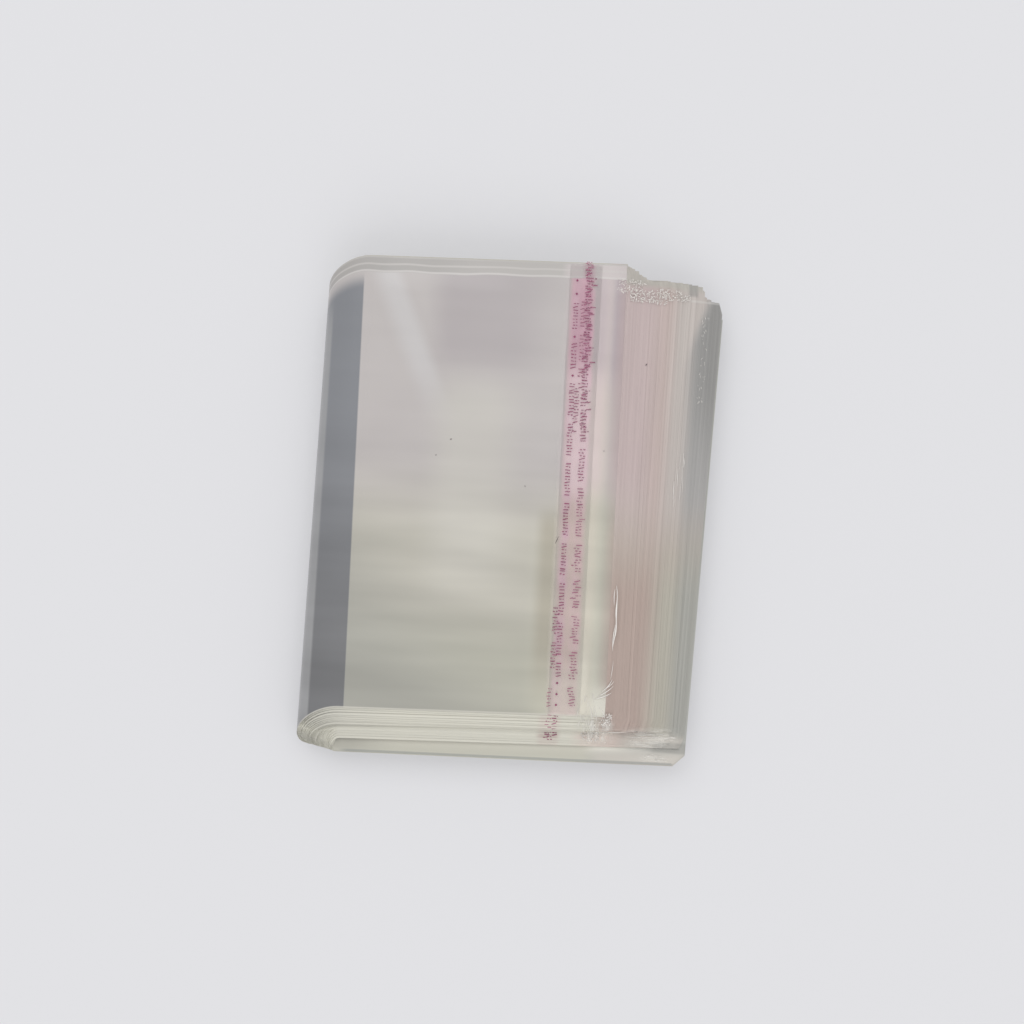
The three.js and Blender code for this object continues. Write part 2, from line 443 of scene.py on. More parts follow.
# Directions in which the fields of colour come in
ACROSS = (1.0, 0.0, 0.0)
UP = (0.0, 1.0, 0.0)
DOWN = (0.0, -1.0, 0.0)
HIGH = (0.0, 0.0, 1.0)
BESIDE_STRIP = (1.0, -TOP_END_TILT, 0.0)  # square to the top bag's flap edge
BESIDE_BAND = (1.0, 0.0242, 0.0)  # square to the edge of the painted dark reflection on the fold
BESIDE_RIM = (1.0, 0.01, 0.0)  # square to the edge of the pale rim, a painted reflection of the floor on the fold
BESIDE_CREASE = (0.91, 0.41, 0.0)  # square to the crease that runs from the fold's far corner
DARK_END = (0.8, 0.03, 0.0)  # across the free ends that bend down behind, where painted shade comes in
DARK_CORNER = (1.0, -0.36, 0.0)  # across the far corner of those ends
FRONT_LEFT = (-0.7, -0.7, 0.0)
BESIDE_FRONT = (-UPPER_SKEW, 1.0, 0.0)  # square to the long edges of the upper leaf
BESIDE_NEAR = (1.0, NEAR_LEAN, 0.0)  # square to the strip's inner column of print
BESIDE_FAR = (1.0, FAR_LEAN, 0.0)  # square to its outer column
# Where a patch of cloudy film fades, as shares of its own length and width
PATCH_EDGES = ((ACROSS, 0.0, 0.35), (ACROSS, 1.0, 0.65), (UP, 0.0, 0.3), (UP, 1.0, 0.7))


def top_film_material():
    """Clear BOPP film, cast and stretched, many layers deep: silver grey and glossy, with a painted dark
    reflection where it bends.
    """
    material, tree = new_material("bopp_film_top")
    place = add(tree, "ShaderNodeTexCoord").outputs["Object"]
    flat_spot = add(tree, "ShaderNodeUVMap", uv_map="place").outputs[0]
    spot = add(
        tree,
        "ShaderNodeVectorMath",
        {0: noise(tree, flat_spot, 14, 1.0)["Color"], 1: (0.0, 1.2 * MM, 0.0), 2: flat_spot},
        operation="MULTIPLY_ADD",
    ).outputs[0]
    base = blend(tree, noise(tree, place, 34)["Fac"], srgb("#aea8a7"), srgb("#c2bdbb"))
    # Painted sheen: lighter and darker slanting bands along the waves
    wave = stretched_noise(tree, place, (70, 9, 0), turn=0.24)
    level = remap(tree, wave, 0.3, 0.7, 0.9, 1.1)
    clouded = remap(tree, noise(tree, flat_spot, 4.5, 3.0)["Fac"], 0.35, 0.65, 0.15, 1.0)
    strip_zone = ((BESIDE_STRIP, 11.2, 13.2), (BESIDE_STRIP, 23, 20.5))
    print_zone = ((BESIDE_NEAR, 12.4, 14.6), (BESIDE_FAR, 20.8, 18.6))
    near_zone = ((BESIDE_NEAR, 12.5, 14.3), (BESIDE_NEAR, 16.5, 14.7))
    far_zone = ((BESIDE_FAR, 15.8, 17.7), (BESIDE_FAR, 20.3, 18.5))
    outer_zone = ((BESIDE_FAR, 18.4, 20.4), (BESIDE_STRIP, 25.5, 21.5))
    dark_reflection_band = ((BESIDE_BAND, -40.7, -41.1), (HIGH, 2, 7))
    edge = HALF_WIDTH + 0.6
    rim = (spot, UP, edge - 4.2, edge - 3.9)
    rim_haze = ((spot, UP, edge - 4.4, edge - 3.9), (spot, UP, edge + 0.4, edge - 1))
    weld = (HALF_WIDTH - 0.5, HALF_WIDTH - 0.3)
    colour = lay_fields(
        tree,
        place,
        base,
        [
            # Painted shade behind the crease, and a painted highlight along the crease
            ("#a8a1a3", 0.7, (ACROSS, -27, -18), (ACROSS, 14, -4), (UP, 30, 44)),
            ("#cccbcc", 0.45, (BESIDE_CREASE, -14, -8.6), (BESIDE_CREASE, -3.5, -7.4), (UP, 18, 40)),
            # The front half, warmer, and darker towards its left corner
            ("#bab7ab", 0.85, (UP, 16, -10)),
            ("#c5c2ba", 0.6, (ACROSS, -26, -14), (ACROSS, 6, -8), (UP, -32, -8), (UP, 40, 26)),
            ("#abaa9d", 0.8, (UP, -20, -40)),
            ("#9d9c95", 0.85, (FRONT_LEFT, 20, 58)),
            ("#c3c1b1", 0.6, (BESIDE_STRIP, 4, 14), (UP, 14, -16)),
            # From the strip to the flap edge, greyer or pinker by turns
            ("#af9fa3", 0.8, (BESIDE_STRIP, 16, 21), (UP, 2, 18)),
            ("#a8a0a8", 0.6, (BESIDE_STRIP, 19, 22), (BESIDE_STRIP, 28, 24), (UP, 28, 40)),
            ("#b5b4a7", 0.85, (BESIDE_STRIP, 18, 22), (UP, 20, -4), (BESIDE_STRIP, 29, 24.5)),
            ("#c0b8b4", 0.8, (BESIDE_STRIP, 17, 20), (UP, 2, 12), (UP, 44, 26)),
            ("#bfbeb1", 0.7, (BESIDE_STRIP, 18, 21), (UP, -18, -40)),
            ("#a89890", 0.85, (BESIDE_STRIP, 23.5, 28), (UP, 16, -8)),
            ("#dad8cd", 0.8, (BESIDE_STRIP, 19.5, 22), (UP, -41, -48)),
            ("#b09e9f", 0.85, (BESIDE_STRIP, 23.5, 28), (UP, -2, 16)),
            ("#a39c8d", 0.7, (BESIDE_STRIP, 6, 10), (BESIDE_STRIP, 14, 12), (UP, 4, -4), (UP, -56, -30)),
            # Under the strip, its print and its outer margin
            ("#c4bab1", 0.8, *strip_zone, (UP, 14, 0)),
            ("#c1b6b7", 0.8, *strip_zone, (UP, 0, 14)),
            ("#d2bcb5", 0.9, *print_zone),
            ("#e2c2c8", 0.9, *print_zone, (UP, 2, 12)),
            ("#cb9aad", 0.9, *print_zone, (UP, 30, 42), (UP, 68, 56)),
            ("#c8c2b4", 0.85, *outer_zone),
            ("#d3c3c2", 0.85, *outer_zone, (UP, 2, 12)),
            ("#b9adb0", 0.85, *outer_zone, (UP, 30, 44)),
            # The haze of the print on the bags below, in clouds
            ("#d8b4c1", clouded, *near_zone),
            ("#dfc1c4", clouded, *far_zone),
            ("#e8bfcf", clouded, *far_zone, (UP, 0, 14)),
            ("#d298b2", clouded, *far_zone, (UP, 30, 44)),
            ("#dad1c6", 0.6, *print_zone, (UP, -34, -44)),
            ("#f0dcdf", 0.55, *print_zone, (UP, 2, 10), (UP, 44, 34)),
            ("#d8d4c6", 0.6, (BESIDE_FAR, 18.6, 20), (BESIDE_STRIP, 23, 21.5), (UP, -30, -42)),
            # The far rim with its two pale lines
            ("#b5b2ae", 0.8, rim),
            ("#ccc3c3", 0.7, rim, (BESIDE_STRIP, 10, 13)),
            ("#9b9896", 0.6, rim, (ACROSS, 0, -34)),
            ("#cfcbc9", 0.6, (spot, UP, edge - 4.1, edge - 3.9), (spot, UP, edge - 3.4, edge - 3.6)),
            ("#c9c5c2", 0.5, (spot, UP, edge - 2.3, edge - 2.1), (spot, UP, edge - 1.6, edge - 1.8)),
            ("#c79dac", 0.6, *far_zone, *rim_haze),
            # A painted dark reflection where the film bends away, and the fold's pale rim, a painted
            # reflection of the floor
            ("#7f8186", 1.0, *dark_reflection_band, (spot, UP, edge - 3.9, edge - 8.5)),
            ("#6b6b6c", 0.8, *dark_reflection_band, (UP, 30, -50)),
            ("#9b9b9c", 0.8, (BESIDE_RIM, -49.1, -49.9), (UP, 54, 42)),
            # The side welds
            ("#cbc8be", 0.7, (flat_spot, DOWN, *weld)),
            ("#b9b6b2", 0.7, (flat_spot, UP, *weld)),
        ],
    )
    # The painted sheen of the waves, in full on the front half and at a third towards the far side
    waving = remap(tree, distance_along(tree, place, UP), 25 * MM, -5 * MM, 0.3, 1.0)
    colour = blend(tree, waving, colour, level, "MULTIPLY")
    show(tree, surface(tree, colour, 0.3, FILM_IOR, (0.25, 0.1)))
    return material


def inner_film_material():
    """The same film on the bags under the top one: each side weld and flap end shows as a fine line."""
    material, tree = new_material("bopp_film_edges")
    place = add(tree, "ShaderNodeTexCoord").outputs["Object"]
    spot = add(tree, "ShaderNodeUVMap", uv_map="place").outputs[0]
    tone = add(tree, "ShaderNodeAttribute", attribute_name="tone").outputs["Fac"]
    base = blend(tree, tone, srgb("#b9b6a9"), srgb("#c4c1b4"))
    colour = lay_fields(
        tree,
        place,
        base,
        [
            # The fan of free ends: pink, then grey, with painted shade where the ends bend down at the right
            # and at the far corner
            ("#bfacad", 0.85, (ACROSS, 20, 24), (UP, -25, 15)),
            ("#beaea8", 0.8, (ACROSS, 31, 39), (UP, -25, 15)),
            ("#bdb7b2", 0.8, (ACROSS, 37, 42), (UP, -35, 15)),
            ("#9f9e9d", 0.9, (ACROSS, 42.5, 47), (UP, -35, 15), (DARK_CORNER, 25.5, 29)),
            ("#888785", 0.8, (DARK_END, 34, 42), (UP, 8, 40), (DARK_CORNER, 26, 29.5)),
            ("#af9b93", 0.9, (ACROSS, 24, 28), (UP, 8, -22), (UP, -62, -56)),
            ("#b3b0a8", 0.85, (ACROSS, 22, 26), (UP, 60.5, 62.5)),
            ("#b0ada1", 0.9, (ACROSS, 36, 43), (UP, 8, -22)),
            ("#9f9f9a", 0.85, (ACROSS, 43, 48), (UP, 8, -22)),
        ],
    )
    line = stretched_noise(tree, place, (0.8, 40, 40))
    uneven = calc(tree, "MULTIPLY_ADD", tone, 0.25, line)
    streak = remap(tree, uneven, 0.35, 0.95, 0.94, 1.06)
    colour = blend(tree, 1.0, colour, streak, "MULTIPLY")
    weld = remap(tree, tone, 0.6, 1.0, 0.1, 0.55)
    shade = remap(tree, tone, 0.0, 0.4, 0.4, 0.0)
    lower_leaf = (HIGH, 8.4, 8.1)
    low_ledges = ((HIGH, 11.9, 11.3), (HIGH, 8.6, 8.9))
    colour = lay_fields(
        tree,
        place,
        colour,
        [
            # The lower leaf, with painted light at the foot of the ledges against the shade there
            ("#a9ada4", 0.9, lower_leaf),
            ("#a4a398", 0.8, lower_leaf, (ACROSS, -35, -44)),
            ("#faf7ec", 0.85, lower_leaf, (BESIDE_FRONT, -64.0, -61.0), (ACROSS, 46, 38)),
            ("#b6b5b0", 0.8, lower_leaf, (ACROSS, 28, 42)),
            # The front ledges: pale, with a darker left end, and pink beside the strip
            ("#c5c2b5", 0.8, (spot, DOWN, HALF_WIDTH - 9, HALF_WIDTH - 4), (UP, -46, -50), (ACROSS, 29, 23)),
            ("#cac4bc", 0.8, (spot, DOWN, HALF_WIDTH - 5, HALF_WIDTH - 1), (ACROSS, 23, 29), (UP, -54, -57)),
            ("#b3b1a7", 0.8, (ACROSS, -24, -38), (UP, -46, -52)),
            ("#8f8d86", 0.8, (ACROSS, -36, -47), (UP, -46, -52), (HIGH, 8.4, 8.8)),
            ("#aeaca2", 0.5, (ACROSS, -32, -39), (UP, -58, -61), (HIGH, 14, 12)),
            ("#c9c7bb", 0.6, (ACROSS, -41, -43), (UP, -57, -60), (HIGH, 14, 12)),
            # Painted light on the low ledges at the foot of the cliff above them
            ("#d0cec2", 0.8, *low_ledges, (UP, -49, -52), (ACROSS, 34, 28)),
            ("#f6f4ea", 0.5, *low_ledges, (BESIDE_FRONT, -59.4, -58.4), (ACROSS, 34, 28)),
            ("#dbc6bf", 0.6, (ACROSS, 19, 24), (ACROSS, 36, 30), (UP, -55, -57), (HIGH, 8.4, 8.7)),
            ("#bca6a0", 0.6, (ACROSS, 10.5, 12.5), (ACROSS, 18, 16), (UP, -50, -53), (HIGH, 8.4, 8.8)),
            # Shade in the hollow at the right, between the ledges, and at the far corner
            ("#95948f", 0.6, (ACROSS, 40, 44), (UP, -57, -58), (UP, -60.8, -60)),
            ("#a5a294", shade, (HIGH, 8.3, 8.6), (UP, -47, -51), (ACROSS, 32, 20)),
            ("#8b8a88", 0.6, (ACROSS, 42.2, 43.2), (UP, 59.6, 60.6), (HIGH, 10.2, 10.6)),
            ("#d0cecb", 0.4, (ACROSS, 42, 44), (UP, 58.4, 58.8), (UP, 59.3, 59.0)),
            # The side welds, and a painted contact shadow: a dark line along the lower leaf's front edge
            ("#dddbd0", weld, (spot, UP, HALF_WIDTH - 0.4, HALF_WIDTH - 0.25), (ACROSS, 40, 24)),
            ("#e2e0d5", weld, (spot, DOWN, HALF_WIDTH - 0.7, HALF_WIDTH - 0.4), (ACROSS, 32, 20)),
            (
                "#8d908e",
                0.6,
                (HIGH, 7.7, 7.95),
                lower_leaf,
                (ACROSS, -41, -38),
                (spot, DOWN, HALF_WIDTH - 0.5, HALF_WIDTH - 0.25),
            ),
        ],
    )
    show(tree, surface(tree, colour, 0.35, FILM_IOR, (0.2, 0.15)))
    return material


def film_mix(tree, share, shader):
    """Shows a finish mixed into clear on a film's outer side only, so that light leaves the film freely."""
    facing = add(tree, "ShaderNodeNewGeometry").outputs["Backfacing"]
    solid = calc(tree, "MULTIPLY", share, calc(tree, "SUBTRACT", 1.0, facing))
    show(tree, with_clear(tree, solid, shader))


def clear_film_material():
    """A single clear BOPP film: nothing but its gloss and a faint haze shows."""
    material, tree = new_material("bopp_film_clear")
    glance = add(tree, "ShaderNodeFresnel", {"IOR": FILM_IOR}).outputs[0]
    film_mix(tree, calc(tree, "MULTIPLY", glance, 0.6), surface(tree, srgb("#e6e4e0"), 0.12, FILM_IOR))
    return material


def plain_material(name, colour, second, size, roughness, solid=1.0):
    """A plain finish whose colour wanders to a second one in patches of the given size in millimetres.

    A finish that isn't solid is mixed with clear.
    """
    material, tree = new_material(name)
    place = add(tree, "ShaderNodeTexCoord").outputs["Object"]
    mixed = blend(tree, noise(tree, place, size)["Fac"], srgb(colour), srgb(second))
    shader = surface(tree, mixed, roughness, PLAIN_IOR)
    show(tree, with_clear(tree, solid, shader) if solid < 1 else shader)
    return material


def liner_material():
    """Siliconed film liner: nearly clear and faintly milky, with a satin gloss."""
    material, tree = new_material("siliconed_film_liner")
    place = add(tree, "ShaderNodeTexCoord").outputs["Object"]
    solid = remap(tree, noise(tree, place, 4)["Fac"], 0.0, 1.0, 0.01, 0.06)
    film_mix(tree, solid, surface(tree, srgb("#f3e6e6"), 0.35, PLAIN_IOR))
    return material


def crushed_film_material(name, colour, share, streaks):
    """Film crushed and bent: cloudy white in streaks between clear, fading out towards the patch's edges.

    The streaks' sizes along x and y are in millimetres, and the patch's own place runs from 0 to 1.
    """
    material, tree = new_material(name)
    place = add(tree, "ShaderNodeTexCoord").outputs["Object"]
    spot = add(tree, "ShaderNodeUVMap", uv_map="place").outputs[0]
    streak = stretched_noise(tree, place, (*streaks, 0), 3.0)
    cloud = remap(tree, streak, 0.35, 0.68, 0.05, share)
    edges = [(way, low / MM, high / MM) for way, low, high in PATCH_EDGES]
    solid = lay_fields(tree, spot, (0.0, 0.0, 0.0, 1.0), [("#ffffff", cloud, *edges)])
    film_mix(tree, solid, surface(tree, srgb(colour), 0.3, FILM_IOR))
    return material


TOP_FILM = top_film_material()
INNER_FILM = inner_film_material()
CLEAR_FILM = clear_film_material()
LINER = liner_material()
# Flexo ink: dark on the liner that faces up, paler on the liners seen through film
DARK_INK = plain_material("flexo_ink_dark", "#7a2c54", "#a0396c", 4, 0.45)
PALE_INK = plain_material("flexo_ink_under_film", "#b0557f", "#c46f94", 4, 0.45, 0.5)
FAINT_INK = plain_material("flexo_ink_deep_under_film", "#bd6a8d", "#cc86a0", 4, 0.45, 0.6)
# Film melted and torn where the hot knife cut and welded it: white, with a wet gloss; on the ridges and the
# flap's curled lip this white is also a painted glint
TORN_WELD_AND_GLINT = plain_material("bopp_torn_weld_and_glint", "#e2ded9", "#f3f0ec", 3, 0.25)
# Film crushed where the flap's corner was bent, and rubbed where the ends slid over each other
CRUSHED_FILM = crushed_film_material("bopp_film_crushed", "#f6f4ee", 0.65, (1.3, 4.0))
RUBBED_FILM = crushed_film_material("bopp_film_rubbed", "#f6f4ee", 0.5, (5.0, 0.8))
DUST = plain_material("dust", "#5c5254", "#7a6f70", 1, 0.8)


def make_stack():
    """The bags: the inner ones in coarse sheets, and the top sheet drawn finely, with its own lift."""
    step = 1 / SHEETS_PER_PACKET
    gap = SHEET_GAP * PACKETS / LEAF_THICKNESS
    inner = []
    for packet in range(PACKETS):
        for sheet in range(1 if packet == 0 else 0, SHEETS_PER_PACKET):
            k = packet + sheet * step
            inner.append(bag_band(packet, k, k + step - gap, *COARSE, 1.0))
    top = bag_band(0, 0, step - gap, *FINE, 0.0, film_lift)
    packets = make_piece("inner_bags", inner, INNER_FILM)
    upper = make_piece("top_bag", [top], TOP_FILM)
    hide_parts("bag_stack")


def plain_body(points, faces):
    """A closed body with its place taken straight from x and y, and no tone."""
    return points, faces, points[:, :2] * MM, np.zeros(len(points))


def ribbon(x, y, z, thickness):
    """A thin closed ribbon under a grid of points."""
    outer = np.stack(np.broadcast_arrays(x, y, z), -1).astype(float)
    inner = outer - np.array([0, 0, thickness])
    points, faces = closed_band(outer, inner)
    return plain_body(points, faces)


def strip_centre(y):
    """The strip's middle line in x: parallel to the top bag's flap edge."""
    _, local = top_bag_place(FOLD_X + STRIP_RUN, y)
    return FOLD_X + STRIP_RUN + TOP_END_TILT * local


def strip_face(x, y):
    """Height of the strip's upper side: over the top bag, with a slight wave along its length."""
    return top_face(x, y) + STRIP_SEAT + STRIP_WAVE * np.sin(y / STRIP_WAVE_RUN) + STRIP_THICKNESS / 2


def make_liner():
    """The peel-off strip: a long thin ribbon across the whole top bag."""
    middle = BASE_Y + LEAD + UPPER_SKEW * STRIP_RUN
    side = np.linspace(-0.5, 0.5, 7)[:, None] * STRIP_WIDTH
    y = middle + np.linspace(-1, 1, 90)[None, :] * (HALF_WIDTH - STRIP_END)
    x = strip_centre(y) + side
    liner = make_piece("release_liner", [ribbon(x, y, strip_face(x, y), STRIP_THICKNESS)], LINER)
    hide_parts("release_strip")


def print_bars(x, y, z, length, width, turn):
    """Flat printed bars as boxes: each has its middle, its length and width, and its turn from +X."""
    along = np.stack([np.cos(turn), np.sin(turn)], -1) * length[:, None] / 2
    beside = np.stack([-np.sin(turn), np.cos(turn)], -1) * width[:, None] / 2
    signs = np.array([(-1, -1), (1, -1), (1, 1), (-1, 1)], float)
    ring = signs[:, 0, None] * along[:, None] + signs[:, 1, None] * beside[:, None]
    points = np.zeros((len(x), 2, 4, 3))
    points[..., :2] = (np.stack([x, y], -1)[:, None] + ring)[:, None]
    points[:, 0, :, 2] = z[:, None]
    points[:, 1, :, 2] = z[:, None] + INK_THICKNESS
    box = np.array([(3, 2, 1, 0), (4, 5, 6, 7), (0, 1, 5, 4), (1, 2, 6, 5), (2, 3, 7, 6), (3, 0, 4, 7)])
    faces = (np.arange(len(x))[:, None, None] * 8 + box).reshape(-1, 4)
    points = points.reshape(-1, 3)
    return plain_body(points, faces)


def near_column(y):
    """Middle of the print column on the strip's inner side, in x."""
    return 13.1 + NEAR_LEAN * (61.5 - y)


def far_column(y):
    """Middle of the print column on the strip's outer side, in x."""
    return 16.1 + FAR_LEAN * (65 - y)


def shifted(column, offset):
    """A column that lies beside another one."""
    return lambda y: column(y) + offset


def bar_column(column, places, spread, length, turn=0.25, face=strip_face):
    """Bars at places along a column: whole, broken in two, slanting, or a short one and a dot."""
    count = len(places)
    y = np.repeat(places, 2) + RNG.normal(0, 0.06, 2 * count)
    side = np.tile([-1.0, 1.0], count)
    kind = np.repeat(RNG.integers(0, 4, count), 2)
    dot = (kind == 3) & (side > 0)
    kinds = [kind == 0, kind == 1, kind == 2, dot]
    own = np.select(kinds, [1.0, 0.38, 0.55, 0.22], 0.5) * length
    shift = np.select(kinds, [0.0, 0.31, 0.24, 0.36], 0.2) * length * side
    turns = np.where(kind == 2, turn, 0.0) + RNG.normal(0, 0.05, 2 * count)
    y = y + np.where(kind == 2, 0.24 * length * side * math.tan(turn), 0)
    kept = (kind > 0) | (side > 0)
    x = column(y) + shift + np.repeat(RNG.normal(0, spread, count), 2)
    width = RNG.uniform(0.17, 0.27, 2 * count)
    x, y, own, width, turns = (value[kept] for value in (x, y, own, width, turns))
    return print_bars(x, y, face(x, y), own, width, turns)


def dot_column(column, places, size):
    """Square dots at places along a column."""
    y = np.array(places, float)
    x = column(y)
    side = np.full(len(y), size)
    return print_bars(x, y, strip_face(x, y), side, side, np.full(len(y), 0.6))


def column_places(start, stop, pitch, group, pause):
    """Even places along a column in groups with a pause between them."""
    starts = np.arange(start, stop, -(group * pitch + pause))
    places = (starts[:, None] - np.arange(group) * pitch).ravel()
    return places[places > stop]


def make_print():
    """Generic print on the strip: bars and dots in columns, dark on the top strip and pale under it."""
    # Bars: the column, places along it, sideways spread, length, slant of some, and what they lie on
    dark = [
        dot_column(near_column, [61.5, 58.0, 46.8, 36.7, -43.4, -46.3, -49.1], 0.5),
        bar_column(near_column, column_places(55.4, 48.6, 0.8, 20, 0), 0.06, 1.2),
        bar_column(near_column, column_places(45.0, 38.2, 0.9, 20, 0), 0.06, 1.4),
        bar_column(near_column, column_places(34.5, -41.5, 0.8, 11, 1.6), 0.1, 1.3),
        bar_column(near_column, np.arange(-52.0, -57.8, -0.7), 0.15, 1.2, 0.3, stack_face),
        bar_column(shifted(near_column, -1.2), np.arange(-56.8, -59.0, -0.4), 0.7, 1.3, 0.3, stack_face),
    ]
    pale = [
        bar_column(far_column, np.arange(66.5, 38, -0.7), 0.35, 1.5, 0.3),
        bar_column(far_column, np.arange(66.2, 22, -0.95), 0.55, 1.4, 0.3),
        bar_column(far_column, column_places(38, 2, 0.8, 11, 1.4), 0.15, 1.4),
        bar_column(shifted(near_column, 1.2), column_places(33.5, 22, 0.8, 12, 1.6), 0.1, 1.2),
        bar_column(shifted(near_column, -1.3), column_places(-24, -41, 0.8, 9, 1.8), 0.2, 1.2),
    ]
    faint = [
        bar_column(far_column, column_places(2, -49.5, 0.75, 10, 1.8), 0.3, 1.5),
        bar_column(shifted(near_column, 1.9), column_places(56, 37, 0.9, 8, 1.5), 0.12, 1.1),
        bar_column(shifted(near_column, -1.9), np.arange(-45, -50, -0.9), 0.15, 1.0),
        bar_column(shifted(near_column, -1.9), np.arange(-52, -56, -0.8), 0.2, 1.0, 0.3, stack_face),
    ]
    for name, bodies, ink in (
        ("print_dark", dark, DARK_INK),
        ("print_pale", pale, PALE_INK),
        ("print_faint", faint, FAINT_INK),
    ):
        make_piece(name, bodies, ink)


def make_clear_film():
    """The clear flap film over the strip: a rippled sheet that comes down on the top bag at its edges."""
    run = np.linspace(UPPER_REACH - FLAP_FILM, UPPER_REACH - FLAP_END, 40)[:, None]
    local = np.linspace(-1, 1, 150)[None, :] * (HALF_WIDTH - FLAP_END)
    x = FOLD_X + run + TOP_END_TILT * local
    y = BASE_Y + LEAD + UPPER_SKEW * run + local
    from_edge = UPPER_REACH - run
    over_strip = smooth(from_edge, FLAP_FILM + 1, STRIP_INSET + STRIP_WIDTH) * smooth(from_edge, 1, 6)
    slack = smooth(HALF_WIDTH - np.abs(local), 0, 12)
    ripple = 0.1 * np.sin(local / 4.1 + 0.3 * run) + 0.12 * np.sin(local / 9.3 - 0.22 * run + 1)
    height = top_face(x, y) + FILM_GAP + over_strip * (0.5 + slack * (0.25 + ripple))
    film = make_piece("flap_film", [ribbon(x, y, height, FLAP_THICKNESS)], CLEAR_FILM)


def flecks(x, y, z, length, radius, turn, bow, rise):
    """Small bent bits: a tapered four-sided bar of three stations, bowed aside and lifted in its middle."""
    station = np.array([-1.0, 0.0, 1.0])
    thick = np.array([0.35, 1.0, 0.35])
    along = np.stack([np.cos(turn), np.sin(turn), 0 * turn], -1)[:, None, None]
    beside = np.stack([-np.sin(turn), np.cos(turn), 0 * turn], -1)[:, None, None]
    above = np.array([0.0, 0.0, 1.0])
    corner = np.array([(1, 0), (0, 1), (-1, 0), (0, -1)], float)
    ring = corner[:, 0, None] * beside + corner[:, 1, None] * above
    path = np.stack([x, y, z], -1)[:, None, None]
    path = path + (station * length[:, None] / 2)[..., None, None] * along
    path = path + ((1 - station**2) * bow[:, None])[..., None, None] * beside
    path = path + ((1 - station**2) * rise[:, None])[..., None, None] * above
    points = (path + (thick * radius[:, None])[..., None, None] * ring).reshape(-1, 3)
    side = np.arange(4)
    after = (side + 1) % 4
    wall = np.stack([side, after, 4 + after, 4 + side], -1)
    shape = np.concatenate([wall, wall + 4, [(3, 2, 1, 0), (8, 9, 10, 11)]])
    faces = (np.arange(len(x))[:, None, None] * 12 + shape).reshape(-1, 4)
    return plain_body(points, faces)


def scatter(count, x_span, y_span, length, radius, turn, spread, bend):
    """Flecks strewn over a patch of the stack, lying on what shows there, most of them turned one way."""
    x, y = RNG.uniform(*x_span, count), RNG.uniform(*y_span, count)
    radii = RNG.uniform(0.6, 1.2, count) * radius
    lengths = RNG.uniform(0.5, 1.4, count) * length
    turns = turn + RNG.normal(0, spread, count)
    bow = RNG.normal(0, bend, count) * lengths
    return flecks(x, y, stack_face(x, y) + radii, lengths, radii, turns, bow, RNG.uniform(0, 0.3, count))


def tube(x, y, z, radius, sides=8):
    """A closed round line along a path, drawn in to a point at both ends."""
    path = np.stack(np.broadcast_arrays(x, y, z), -1).astype(float)
    along = np.gradient(path, axis=0)
    along /= np.linalg.norm(along, axis=1)[:, None]
    beside = np.cross([0.0, 0.0, 1.0], along)
    beside /= np.linalg.norm(beside, axis=1)[:, None]
    above = np.cross(along, beside)
    angle = np.arange(sides) * 2 * math.pi / sides
    ring = np.cos(angle)[None, :, None] * beside[:, None] + np.sin(angle)[None, :, None] * above[:, None]
    rows = len(path)
    points = (path[:, None] + radius[:, None, None] * ring).reshape(-1, 3)
    grid = np.arange(rows * sides).reshape(rows, sides)
    turned = np.roll(grid, -1, 1)
    walls = np.stack([grid[:-1], turned[:-1], turned[1:], grid[1:]], -1).reshape(-1, 4)
    half = sides // 2
    pairs = np.arange(half - 1)
    cap = np.stack([pairs, pairs + 1, sides - 2 - pairs, sides - 1 - pairs], -1)
    faces = np.concatenate([walls, cap[:, ::-1], cap + (rows - 1) * sides])
    return plain_body(points, faces)


def cloudy_patch(x_span, y_span, rise):
    """A thin patch of cloudy film over the stack: a low arch on what shows there, its place from 0 to 1."""
    along = np.linspace(0, 1, 30)[:, None]
    across = np.linspace(0, 1, 30)[None, :]
    x = x_span[0] + (x_span[1] - x_span[0]) * along + 0 * across
    y = y_span[0] + (y_span[1] - y_span[0]) * across + 0 * along
    arch = rise * np.sin(along * math.pi) * np.sin(across * math.pi)
    points, faces, _, tone = ribbon(x, y, stack_face(x, y) + FILM_GAP + arch, PATCH_THICKNESS)
    place = np.stack(np.broadcast_arrays(along, across), -1).reshape(-1, 2)
    return points, faces, np.tile(place, (2, 1)), tone


def bent_line(start, through, end, radius):
    """A ridge of bent film: a round line along a curve pulled towards a third point, lying on the stack."""
    t = np.linspace(0, 1, 24)[:, None]
    path = (1 - t) ** 2 * np.array(start) + 2 * t * (1 - t) * np.array(through) + t**2 * np.array(end)
    x, y = path.T
    shelf = np.max([stack_face(x, y + step) for step in (-0.3, 0, 0.3)], axis=0)
    swell = np.sin(t[:, 0] * math.pi)
    return tube(x, y, shelf + 0.15 + 0.5 * radius * swell, radius * (0.2 + 0.8 * swell), 6)


